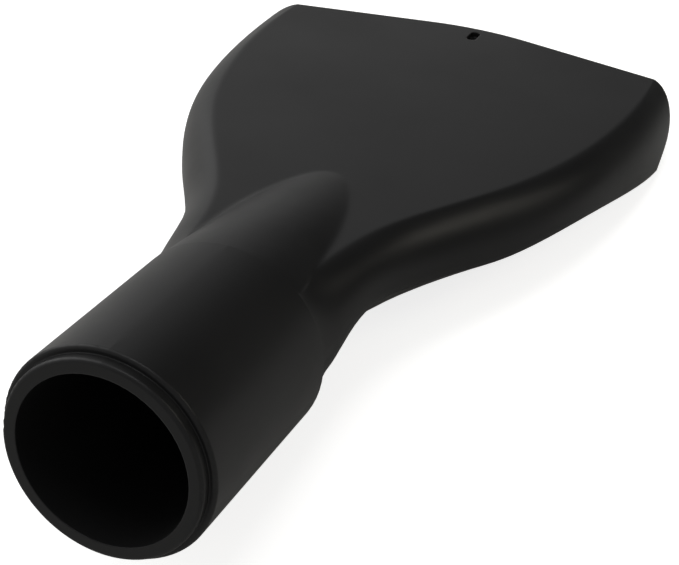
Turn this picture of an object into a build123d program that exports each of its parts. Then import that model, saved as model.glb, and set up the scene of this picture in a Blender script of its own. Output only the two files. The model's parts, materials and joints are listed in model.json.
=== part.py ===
from build123d import *
from math import acos, asin, atan2, cos, pi, radians, sin, tan
import os

# Upholstery nozzle for a vacuum cleaner, moulded in one hollow piece.
# A round tube that slips over the end of the hose or wand flattens out into a wide fan,
# and the fan ends in a slot that leans back from its upper lip.
# The origin is the centre of the tube's open end. +Z is up when the nozzle lies on a table,
# and the tube runs along +Y towards the fan, a few degrees nose down.

# Tube, in millimetres
bore_r = 17.5            # socket for a 35 mm wand
tube_r = 21.7            # outside of the tube
collar_r = 20.3          # stepped-down ring at the open end
collar_len = 2.4
edge_round = 0.7         # rounded edges of the ring and of the step behind it
bore_lip = 1.0           # rounded entry of the socket
bore_ledge = 0.5         # step at the end of the socket that stops the wand
crease_y = 47.7          # where the plain tube ends and the fan begins
crease_step = 0.25       # fine step down from the tube to the fan
ridge_step = 0.2         # and from the fan's neck to the ridge

# Fan
length = 199.2           # open end to the middle of the upper lip, along the tube
mouth_width = 116.8
plate_h = 15.1           # flat top above the tube's axis, at the crease
plate_rise = 2.26        # degrees that the flat top climbs towards the mouth
shoulder_width = 7.7     # rounded shoulder between the flat top and the side
wall = 2.6               # moulded wall of the fan
belly_full = 0.5         # fullness of the underside
belly_slope = 44.0       # degrees at which the underside leaves the side

# Mouth
mouth_floor = 3.7        # underside above the tube's axis, at the mouth
mouth_lean = 50.0        # degrees that the slot leans back from upright
lip_slope = 11.5         # degrees that each half of the front edge falls back from the middle
lip_round = 67.0         # radius that joins the two halves

# Ridge: the top of the tube runs on over the flat top and sinks into it
ridge_len = 56.5
ridge_blend = 5.0        # radius of the hollow blend between the ridge and the flat top
ridge_root = 2.5         # depth of the ridge below the foot of its blend

# Vent recess behind the middle of the front edge
vent_len = 6.0           # along the nozzle
vent_width = 2.6
vent_depth = 1.4
vent_back = 6.8

# Stations along the fan, from the crease to just past the mouth:
# share of the way, share of the widening, share of the side's height that the shoulder takes,
# share of the underside's rise, height of the side's foot above the mouth floor against plate_h
stations = [
    (0.082, 0.012, 0.90, 0.19, -0.04),
    (0.128, 0.038, 0.90, 0.31, 0.09),
    (0.175, 0.084, 0.90, 0.42, 0.10),
    (0.268, 0.246, 0.90, 0.60, 0.05),
    (0.361, 0.472, 0.90, 0.74, 0.05),
    (0.468, 0.700, 0.90, 0.84, 0.18),
    (0.601, 0.880, 0.88, 0.92, 0.23),
    (0.747, 0.985, 0.80, 0.97, 0.12),
    (0.880, 1.000, 0.64, 1.00, 0.06),
    (1.080, 1.035, 0.60, 1.00, 0.04),
]
neck_side = 0.005  # short upright side of the neck, against its radius

# Stations along the ridge: share of its length, height of its crest above the flat top and depth of its
# foot below, both against the crest's height at the crease, and share of the blend's radius
ridge_stations = [
    (0.00, 1.00, 0.040, 0.06),
    (0.22, 0.83, 0.040, 0.20),
    (0.46, 0.59, 0.030, 1.00),
    (0.70, 0.30, 0.040, 1.00),
    (0.86, 0.08, 0.073, 1.00),
    (1.00, -0.13, 0.195, 1.00),
]
quarter = 4 / 3 * tan(pi / 8)  # handle of a curve that follows a quarter circle

# Lying on a table, the nozzle touches at the crease and at the lower lip
plate_slope = tan(radians(plate_rise))
fan_len = length - crease_y
mouth_top = plate_h + plate_slope * fan_len
lean = radians(mouth_lean)
lower_lip_y = length - (mouth_top - mouth_floor) * tan(lean)
pitch = atan2(mouth_floor + tube_r, lower_lip_y - crease_y)
plate_pitch = pitch - radians(plate_rise)

tube_frame = Plane(origin=(0, 0, 0), x_dir=(1, 0, 0), z_dir=(0, sin(pitch), cos(pitch)))
axis_dir = tube_frame.y_dir
half_section = Plane(origin=(0, 0, 0), x_dir=axis_dir, z_dir=(1, 0, 0))
flat_top = Plane(
    origin=tube_frame.from_local_coords((0, crease_y, plate_h)),
    x_dir=(1, 0, 0),
    z_dir=(0, sin(plate_pitch), cos(plate_pitch)),
)

# Front edge on the flat top, and the direction in which the mouth leans back under it
front_middle = fan_len / cos(radians(plate_rise))
lip_fall = mouth_width * tan(radians(lip_slope))
lean_dir = -sin(lean) * axis_dir - cos(lean) * tube_frame.z_dir


def across(y):
    """Plane square to the tube at y, seen from the open end: x to the right, y up."""
    return Plane(origin=tube_frame.from_local_coords((0, y, 0)), x_dir=(1, 0, 0), z_dir=-axis_dir)


def fan_section(y, top, shoulder, half, side_top, foot, under, keel, belly):
    """Closed section: flat top, rounded shoulders, upright sides down to the foot, and an underside
    whose right half leaves the foot towards under and arrives in the middle from keel."""
    drop = top - side_top
    radius = (shoulder**2 + drop**2) / (2 * shoulder)
    turn = asin(drop / radius) / 2
    mid = (half - radius * (1 - cos(turn)), side_top + radius * sin(turn))
    edge = half - shoulder
    with BuildSketch(across(y)) as section:
        with BuildLine():
            Line((-edge, top), (edge, top))
            ThreePointArc((edge, top), mid, (half, side_top))
            Line((half, side_top), (half, foot))
            Bezier((half, foot), under, (keel, belly), (0, belly))
            Bezier((0, belly), (-keel, belly), (-under[0], under[1]), (-half, foot))
            Line((-half, foot), (-half, side_top))
            ThreePointArc((-half, side_top), (-mid[0], mid[1]), (-edge, top))
        make_face()
    return section.sketch


def fan_sections(inset, neck_r):
    """All sections of the fan, drawn inset from its outside and starting from a neck of neck_r."""
    top = plate_h - inset
    foot = -neck_side * neck_r
    shoulder = neck_r * (1 - cos(asin(top / neck_r)))
    under = (neck_r, foot - quarter * (neck_r + foot))
    sections = [fan_section(crease_y, top, shoulder, neck_r, 0, foot, under, quarter * neck_r, -neck_r)]
    for along, widen, drop, rise, lift in stations:
        half = tube_r + widen * (mouth_width / 2 - tube_r) - inset
        top = plate_h + plate_slope * along * fan_len - inset
        foot = mouth_floor + lift * plate_h + inset
        belly = rise * (mouth_floor + tube_r) - tube_r + inset
        side_top = top - drop * (top - foot)
        fall = belly_full * (foot - belly)
        under = (half - fall / tan(radians(belly_slope)), foot - fall)
        shoulder = shoulder_width - 0.7 * inset
        y = crease_y + along * fan_len
        sections.append(fan_section(y, top, shoulder, half, side_top, foot, under, belly_full * half, belly))
    return sections


def ridge_sections(inset, radius):
    """Sections of the ridge on the flat top drawn inset: an arc of the radius that sinks as it goes
    forward, eased into the flat top by a hollow arc on each side."""
    sections = []
    crest_h = radius - plate_h + inset
    for along, crest_share, foot_share, blend_share in ridge_stations:
        flat = plate_h - inset + plate_slope * along * ridge_len
        crest = flat + crest_share * crest_h
        foot = flat - foot_share * crest_h
        blend = blend_share * ridge_blend
        # the arc and its blend turn through the same angle, from the crest down to the foot
        turn = acos(1 - (crest - foot) / (radius + blend))
        half = (radius + blend) * sin(turn)
        meet = (radius * sin(turn), crest - radius * (1 - cos(turn)))
        hollow = (half - blend * sin(turn / 2), foot + blend * (1 - cos(turn / 2)))
        with BuildSketch(across(crease_y + along * ridge_len)) as section:
            with BuildLine():
                ThreePointArc((-meet[0], meet[1]), (0, crest), meet)
                ThreePointArc(meet, hollow, (half, foot))
                Line((half, foot), (half, foot - ridge_root))
                Line((half, foot - ridge_root), (-half, foot - ridge_root))
                Line((-half, foot - ridge_root), (-half, foot))
                ThreePointArc((-half, foot), (-hollow[0], hollow[1]), (-meet[0], meet[1]))
            make_face()
        sections.append(section.sketch)
    return sections


# Plain tube with the stepped ring at its open end
with BuildPart() as tube:
    with BuildSketch(half_section):
        with BuildLine():
            Polyline(
                (0, bore_r),
                (0, collar_r),
                (collar_len, collar_r),
                (collar_len, tube_r),
                (crease_y, tube_r),
                (crease_y, bore_r),
                close=True,
            )
        ring = make_face()
        by_radius = ring.vertices().group_by(Axis.Y)
        fillet([by_radius[1].sort_by(Axis.X)[0], by_radius[2].sort_by(Axis.X)[0]], edge_round)
        fillet(by_radius[0].sort_by(Axis.X)[0], bore_lip)
    revolve(axis=Axis((0, 0, 0), (axis_dir.X, axis_dir.Y, axis_dir.Z)))

with BuildPart() as fan:
    loft(fan_sections(0, tube_r - crease_step))

with BuildPart() as ridge:
    loft(ridge_sections(0, tube_r - crease_step - ridge_step))

with BuildPart() as nozzle:
    add(fan.part)
    add(ridge.part)
    loft(fan_sections(wall, bore_r - bore_ledge), mode=Mode.SUBTRACT)
    loft(ridge_sections(wall, bore_r - bore_ledge - ridge_step), mode=Mode.SUBTRACT)
    add(tube.part)
    # everything beyond the mouth, which follows the front edge and leans back from it
    with BuildSketch(flat_top) as beyond:
        with BuildLine():
            Polyline(
                (-mouth_width, front_middle - lip_fall),
                (0, front_middle),
                (mouth_width, front_middle - lip_fall),
                (mouth_width, front_middle + fan_len),
                (-mouth_width, front_middle + fan_len),
                close=True,
            )
        make_face()
        fillet(beyond.vertices().sort_by(lambda v: abs(v.X))[0], lip_round)
    extrude(amount=4 * tube_r, dir=lean_dir, both=True, mode=Mode.SUBTRACT)
    # vent recess
    with BuildSketch(flat_top):
        with Locations((0, front_middle - vent_back)):
            SlotOverall(vent_len, vent_width, rotation=90)
    extrude(amount=-vent_depth, mode=Mode.SUBTRACT)

nozzle.part.label = "nozzle"
os.makedirs("parts", exist_ok=True)
export_step(nozzle.part, "parts/nozzle.step")
print("solids", len(nozzle.part.solids()), "faces", len(nozzle.part.faces()), "valid", nozzle.part.is_valid)
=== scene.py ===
import bpy
import json
from math import radians
from mathutils import Euler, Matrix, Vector


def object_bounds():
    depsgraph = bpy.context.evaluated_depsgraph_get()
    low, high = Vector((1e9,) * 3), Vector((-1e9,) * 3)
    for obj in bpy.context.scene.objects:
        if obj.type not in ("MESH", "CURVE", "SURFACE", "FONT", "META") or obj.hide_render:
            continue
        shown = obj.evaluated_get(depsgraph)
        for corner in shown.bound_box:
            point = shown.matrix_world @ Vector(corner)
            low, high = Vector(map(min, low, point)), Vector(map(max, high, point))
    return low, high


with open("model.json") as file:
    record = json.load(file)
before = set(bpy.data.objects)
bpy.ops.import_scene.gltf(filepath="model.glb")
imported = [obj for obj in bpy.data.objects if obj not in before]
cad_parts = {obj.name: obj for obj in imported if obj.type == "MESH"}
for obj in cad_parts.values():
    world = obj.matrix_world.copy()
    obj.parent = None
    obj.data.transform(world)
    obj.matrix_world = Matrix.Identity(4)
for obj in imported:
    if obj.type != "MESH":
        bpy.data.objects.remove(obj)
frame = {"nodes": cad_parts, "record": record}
cad_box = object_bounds()

# Camera: the photograph's place and angles, in metres and degrees.
# Azimuth 0 looks along +Y and a positive one looks from the right; the elevation is above the horizon.
CAMERA_PLACE = (0.1195, -0.1653, 0.1985)
AZIMUTH = 23.96
ELEVATION = 38.47
ROLL = -0.36
SENSOR = 36.0
IMAGE_WIDTH = 679
FOCAL_PIXELS = 1600
NEAREST = 0.01

# Lamps, in metres and watts: a soft box on the left, a weaker one overhead and a small warm one
# on the right
WHITE = (1, 1, 1)
WARM = (1, 0.96, 0.85)
LAMPS = {
    "key": dict(place=(-0.9, 0.3, 0.7), aim=(0, 0.1, -0.01), size=(0.9, 0.9), power=5.0, colour=WHITE),
    "top": dict(place=(0, 0.1, 1.2), aim=(0, 0.1, 0), size=(0.5, 0.5), power=3.0, colour=WHITE),
    "side": dict(place=(0.91, 0.48, 0.67), aim=(0, 0.1, 0), size=(0.5, 0.3), power=1.75, colour=WARM),
}

# Studio: full light on the left, less in front, and dim at the back on the right. A span gives the
# direction's X or Y at which the light is still dim, and the one at which it has its whole share.
STUDIO_LIGHT = 0.72
DIM_SHARE = 0.06
LEFT_SHARE = 1.0
LEFT_SPAN = (0.25, -0.8)
FRONT_SHARE = 0.6
FRONT_SPAN = (0.2, -0.3)

# Floor: pale paper, and a glow that only the camera sees, which makes the background white
FLOOR_SIZE = 6.0
PAPER_COLOUR = (0.66, 0.655, 0.64, 1)
PAPER_GLOW = 0.78

# Plastic: dark grey, with patches of slightly uneven gloss and a fine spark-eroded grain
DARKER_GREY = (0.0070, 0.0070, 0.0072, 1)
LIGHTER_GREY = (0.0090, 0.0090, 0.0092, 1)
ROUGHNESS = (0.36, 0.44)
PLASTIC_IOR = 1.5
SPECULAR_LEVEL = 0.22
PATCH_SCALE = 28.0
PATCH_SPAN = (0.3, 0.7)
GRAIN_SCALE = 2600.0
GRAIN_STRENGTH = 0.12
GRAIN_DEPTH = 0.00004

# Soft edges: the widest radius in metres, and the share of it at points along the tube's axis, as
# parts of SOFT_LENGTH from the open end. They are fine at the ring, wide on the tube, gone at the
# crease, wider again where the forms of the fan meet, and fine at the lips.
SOFT_RADIUS = 0.0034
SOFT_LENGTH = 0.2
SOFT_SAMPLES = 8
SOFT_SHARES = [
    (0.025, 0.12),
    (0.04, 1.0),
    (0.221, 1.0),
    (0.238, 0.0),
    (0.2405, 0.0),
    (0.246, 0.3),
    (0.30, 0.65),
    (0.85, 0.65),
    (0.93, 0.15),
]

# Where a mix node set to colours keeps them among its inputs and outputs
MIX_FIRST = 6
MIX_SECOND = 7
MIX_RESULT = 2


def fill(tree, socket, value):
    """Links value to the socket if it is a node's output, and sets it otherwise."""
    if isinstance(value, bpy.types.NodeSocket):
        tree.links.new(value, socket)
    else:
        socket.default_value = value


def node(tree, kind, place, *in_order, **by_name):
    """Adds a node to tree and fills its inputs, in order or by name."""
    made = tree.nodes.new(kind)
    made.location = place
    for socket, value in zip(made.inputs, in_order):
        fill(tree, socket, value)
    for name, value in by_name.items():
        fill(tree, made.inputs[name.replace("_", " ")], value)
    return made


def arithmetic(tree, operation, place, first, second):
    made = node(tree, "ShaderNodeMath", place, first, second)
    made.operation = operation
    return made.outputs["Value"]


def spread(tree, place, value, span, results, curve="LINEAR"):
    """Output that goes from one of the two results to the other as value crosses the span."""
    made = node(tree, "ShaderNodeMapRange", place, Value=value)
    made.interpolation_type = curve
    fill(tree, made.inputs["From Min"], span[0])
    fill(tree, made.inputs["From Max"], span[1])
    fill(tree, made.inputs["To Min"], results[0])
    fill(tree, made.inputs["To Max"], results[1])
    return made.outputs["Result"]


def noise(tree, place, where, scale, detail, roughness):
    made = node(
        tree, "ShaderNodeTexNoise", place,
        Vector=where, Scale=scale, Detail=detail, Roughness=roughness,
    )
    return made.outputs["Fac"]


def add_camera():
    data = bpy.data.cameras.new("camera")
    data.sensor_fit = "HORIZONTAL"
    data.sensor_width = SENSOR
    data.lens = FOCAL_PIXELS / IMAGE_WIDTH * SENSOR
    data.clip_start = NEAREST
    camera = bpy.data.objects.new("camera", data)
    bpy.context.collection.objects.link(camera)
    camera.location = CAMERA_PLACE
    turn = Euler((radians(90 - ELEVATION), 0, radians(AZIMUTH))).to_matrix()
    roll = Euler((0, 0, radians(ROLL))).to_matrix()
    camera.rotation_euler = (turn @ roll).to_euler()
    bpy.context.scene.camera = camera


def add_lamp(name, place, aim, size, power, colour):
    data = bpy.data.lights.new(name, "AREA")
    data.color = colour
    data.shape = "RECTANGLE"
    data.size, data.size_y = size
    data.energy = power
    lamp = bpy.data.objects.new(name, data)
    bpy.context.collection.objects.link(lamp)
    lamp.location = place
    lamp.rotation_euler = (Vector(aim) - Vector(place)).to_track_quat("-Z", "Y").to_euler()


def add_world():
    """Studio that lights the object from the left and the front, and that the camera sees as white."""
    world = bpy.data.worlds.new("studio")
    world.use_nodes = True
    tree = world.node_tree
    tree.nodes.clear()
    rays = node(tree, "ShaderNodeLightPath", (-600, 300))
    direction = node(tree, "ShaderNodeTexCoord", (-900, 0)).outputs["Generated"]
    split = node(tree, "ShaderNodeSeparateXYZ", (-700, 0), Vector=direction)
    left_shares = (DIM_SHARE, LEFT_SHARE)
    left = spread(tree, (-500, 0), split.outputs["X"], LEFT_SPAN, left_shares, "SMOOTHSTEP")
    front_shares = (DIM_SHARE, FRONT_SHARE)
    front = spread(tree, (-500, -250), split.outputs["Y"], FRONT_SPAN, front_shares, "SMOOTHSTEP")
    share = arithmetic(tree, "MAXIMUM", (-300, -100), left, front)
    strength = arithmetic(tree, "MULTIPLY", (-200, 0), share, STUDIO_LIGHT)
    light = node(tree, "ShaderNodeBackground", (0, 0), Color=(*WHITE, 1), Strength=strength)
    backdrop = node(tree, "ShaderNodeBackground", (0, 200), Color=(*WHITE, 1), Strength=1.0)
    seen = node(
        tree, "ShaderNodeMixShader", (200, 100),
        rays.outputs["Is Camera Ray"], light.outputs[0], backdrop.outputs[0],
    )
    node(tree, "ShaderNodeOutputWorld", (400, 100), Surface=seen.outputs[0])
    bpy.context.scene.world = world


def white_paper():
    material = bpy.data.materials.new("white_paper")
    material.use_nodes = True
    tree = material.node_tree
    tree.nodes.clear()
    rays = node(tree, "ShaderNodeLightPath", (-400, 300))
    sheet = node(tree, "ShaderNodeBsdfDiffuse", (-200, 0), Color=PAPER_COLOUR)
    glow = node(tree, "ShaderNodeEmission", (-200, 200), Color=(*WHITE, 1), Strength=PAPER_GLOW)
    glowing = node(tree, "ShaderNodeAddShader", (0, 150), sheet.outputs[0], glow.outputs[0])
    seen = node(
        tree, "ShaderNodeMixShader", (200, 100),
        rays.outputs["Is Camera Ray"], sheet.outputs[0], glowing.outputs[0],
    )
    node(tree, "ShaderNodeOutputMaterial", (400, 100), Surface=seen.outputs[0])
    return material


def add_floor(height):
    half = FLOOR_SIZE / 2
    corners = [(x * half, y * half, height) for x, y in ((-1, -1), (1, -1), (1, 1), (-1, 1))]
    mesh = bpy.data.meshes.new("floor")
    mesh.from_pydata(corners, [], [(0, 1, 2, 3)])
    mesh.materials.append(white_paper())
    floor = bpy.data.objects.new("floor", mesh)
    bpy.context.collection.objects.link(floor)


def edge_softness(tree, where):
    """Radius of the soft edges, set by how far along the tube's axis a point lies."""
    mounts = {mount["name"]: mount for mount in frame["record"]["mounts"]}
    inward = -Vector(mounts["wand_socket"]["axis"]).normalized()
    along = node(tree, "ShaderNodeVectorMath", (-1300, -500), where, inward / SOFT_LENGTH)
    along.operation = "DOT_PRODUCT"
    ramp = node(tree, "ShaderNodeValToRGB", (-1100, -500), along.outputs["Value"])
    stops = ramp.color_ramp.elements
    # a new ramp has two stops
    for part, _ in SOFT_SHARES[2:]:
        stops.new(part)
    for stop, (part, share) in zip(stops, SOFT_SHARES):
        stop.position = part
        stop.color = (share, share, share, 1)
    return arithmetic(tree, "MULTIPLY", (-700, -500), ramp.outputs["Color"], SOFT_RADIUS)


def moulded_plastic():
    material = bpy.data.materials.new("moulded_plastic")
    material.use_nodes = True
    tree = material.node_tree
    shader = tree.nodes["Principled BSDF"]
    where = node(tree, "ShaderNodeTexCoord", (-1500, 0)).outputs["Object"]
    patches = noise(tree, (-800, 200), where, PATCH_SCALE, detail=4.0, roughness=0.5)
    grain = noise(tree, (-800, -200), where, GRAIN_SCALE, detail=3.0, roughness=0.6)
    gloss = spread(tree, (-500, 200), patches, PATCH_SPAN, ROUGHNESS)
    grey = node(tree, "ShaderNodeMix", (-500, 400), patches)
    grey.data_type = "RGBA"
    fill(tree, grey.inputs[MIX_FIRST], DARKER_GREY)
    fill(tree, grey.inputs[MIX_SECOND], LIGHTER_GREY)
    edges = node(tree, "ShaderNodeBevel", (-500, -500), Radius=edge_softness(tree, where))
    edges.samples = SOFT_SAMPLES
    bump = node(
        tree, "ShaderNodeBump", (-300, -200),
        Height=grain, Strength=GRAIN_STRENGTH, Distance=GRAIN_DEPTH, Normal=edges.outputs["Normal"],
    )
    fill(tree, shader.inputs["Base Color"], grey.outputs[MIX_RESULT])
    fill(tree, shader.inputs["Roughness"], gloss)
    fill(tree, shader.inputs["Normal"], bump.outputs["Normal"])
    fill(tree, shader.inputs["IOR"], PLASTIC_IOR)
    fill(tree, shader.inputs["Specular IOR Level"], SPECULAR_LEVEL)
    return material


nozzle = frame["nodes"]["nozzle"]
nozzle.data.materials.clear()
nozzle.data.materials.append(moulded_plastic())

lowest = cad_box[0][2]
add_floor(lowest)
add_camera()
add_world()
for name, lamp in LAMPS.items():
    add_lamp(name, **lamp)
bpy.context.scene.view_settings.view_transform = "Standard"
